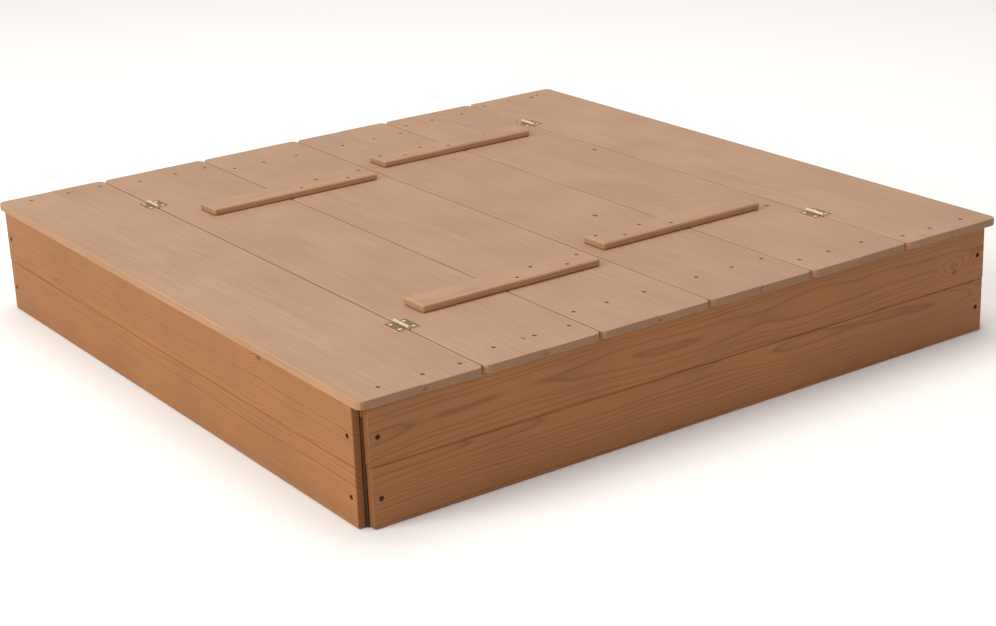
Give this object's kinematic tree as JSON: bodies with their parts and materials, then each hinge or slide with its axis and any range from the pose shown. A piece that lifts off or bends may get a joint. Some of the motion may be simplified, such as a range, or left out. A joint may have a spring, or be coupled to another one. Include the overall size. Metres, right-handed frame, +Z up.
{
  "type": "sandpit",
  "caption": "Low square wooden sandpit with a hinged board lid that unfolds into two bench seats with backrests.",
  "frame": {"origin": "middle of the sandpit's outline, on the ground it stands on", "axes": "+X from the left wall to the right wall, across the lid boards; +Y from the front wall to the rear wall, along the lid boards; +Z up"},
  "size_m": [1.204, 1.22, 0.2025],
  "materials": {
    "wall_wood": "planed spruce, brown stain",
    "lid_wood": "planed spruce, brown stain",
    "batten_wood": "planed spruce, brown stain",
    "strip_wood": "planed spruce, brown stain",
    "hinge_zinc": "yellow-passivated zinc-plated steel",
    "screw_zinc": "yellow-passivated zinc-plated steel"
  },
  "bodies": {
    "box": {"front_lower_board": "wall_wood", "front_upper_board": "wall_wood", "rear_lower_board": "wall_wood", "rear_upper_board": "wall_wood", "left_lower_board": "wall_wood", "left_upper_board": "wall_wood", "right_lower_board": "wall_wood", "right_upper_board": "wall_wood", "front_left_post": "strip_wood", "front_right_post": "strip_wood", "rear_left_post": "strip_wood", "rear_right_post": "strip_wood", "left_fixed_outer_board": "lid_wood", "left_fixed_inner_board": "lid_wood", "left_fixed_front_cleat": "strip_wood", "left_fixed_rear_cleat": "strip_wood", "left_seat_hinge_fixed_leaves": "hinge_zinc", "left_seat_hinge_pins": "hinge_zinc", "right_fixed_outer_board": "lid_wood", "right_fixed_inner_board": "lid_wood", "right_fixed_front_cleat": "strip_wood", "right_fixed_rear_cleat": "strip_wood", "right_seat_hinge_fixed_leaves": "hinge_zinc", "right_seat_hinge_pins": "hinge_zinc", "wall_screws": "screw_zinc", "fixed_panel_screws": "screw_zinc", "fixed_cleat_screws": "screw_zinc", "fixed_leaf_screws": "screw_zinc"},
    "left_seat": {"left_seat_outer_board": "lid_wood", "left_seat_inner_board": "lid_wood", "left_seat_front_cleat": "strip_wood", "left_seat_rear_cleat": "strip_wood", "left_seat_hinge_moving_leaves": "hinge_zinc", "left_rest_hinge_seat_leaves": "hinge_zinc", "left_rest_hinge_pins": "hinge_zinc", "left_seat_screws": "screw_zinc"},
    "left_backrest": {"left_rest_outer_board": "lid_wood", "left_rest_inner_board": "lid_wood", "left_rest_front_batten": "batten_wood", "left_rest_rear_batten": "batten_wood", "left_rest_front_cleat": "strip_wood", "left_rest_rear_cleat": "strip_wood", "left_rest_hinge_moving_leaves": "hinge_zinc", "left_rest_screws": "screw_zinc"},
    "right_seat": {"right_seat_outer_board": "lid_wood", "right_seat_inner_board": "lid_wood", "right_seat_front_cleat": "strip_wood", "right_seat_rear_cleat": "strip_wood", "right_seat_hinge_moving_leaves": "hinge_zinc", "right_rest_hinge_seat_leaves": "hinge_zinc", "right_rest_hinge_pins": "hinge_zinc", "right_seat_screws": "screw_zinc"},
    "right_backrest": {"right_rest_outer_board": "lid_wood", "right_rest_inner_board": "lid_wood", "right_rest_front_batten": "batten_wood", "right_rest_rear_batten": "batten_wood", "right_rest_front_cleat": "strip_wood", "right_rest_rear_cleat": "strip_wood", "right_rest_hinge_moving_leaves": "hinge_zinc", "right_rest_screws": "screw_zinc"}
  },
  "joints": [
    {"name": "left_seat_hinge", "type": "hinge", "parent": "box", "child": "left_seat", "pos_m": [-0.40133, 0, 0.19345], "axis": [0, -1, 0], "range_deg": [0, 180]},
    {"name": "left_backrest_hinge", "type": "hinge", "parent": "left_seat", "child": "left_backrest", "pos_m": [-0.20067, 0, 0.17505], "axis": [0, 1, 0], "range_deg": [0, 85.5]},
    {"name": "right_seat_hinge", "type": "hinge", "parent": "box", "child": "right_seat", "pos_m": [0.40133, 0, 0.19345], "axis": [0, 1, 0], "range_deg": [0, 180]},
    {"name": "right_backrest_hinge", "type": "hinge", "parent": "right_seat", "child": "right_backrest", "pos_m": [0.20067, 0, 0.17505], "axis": [0, -1, 0], "range_deg": [0, 85.5]}
  ],
  "couplings": [
    {"joint": "left_backrest_hinge", "follows": "left_seat_hinge", "ratio": 0.475},
    {"joint": "right_backrest_hinge", "follows": "right_seat_hinge", "ratio": 0.475}
  ]
}
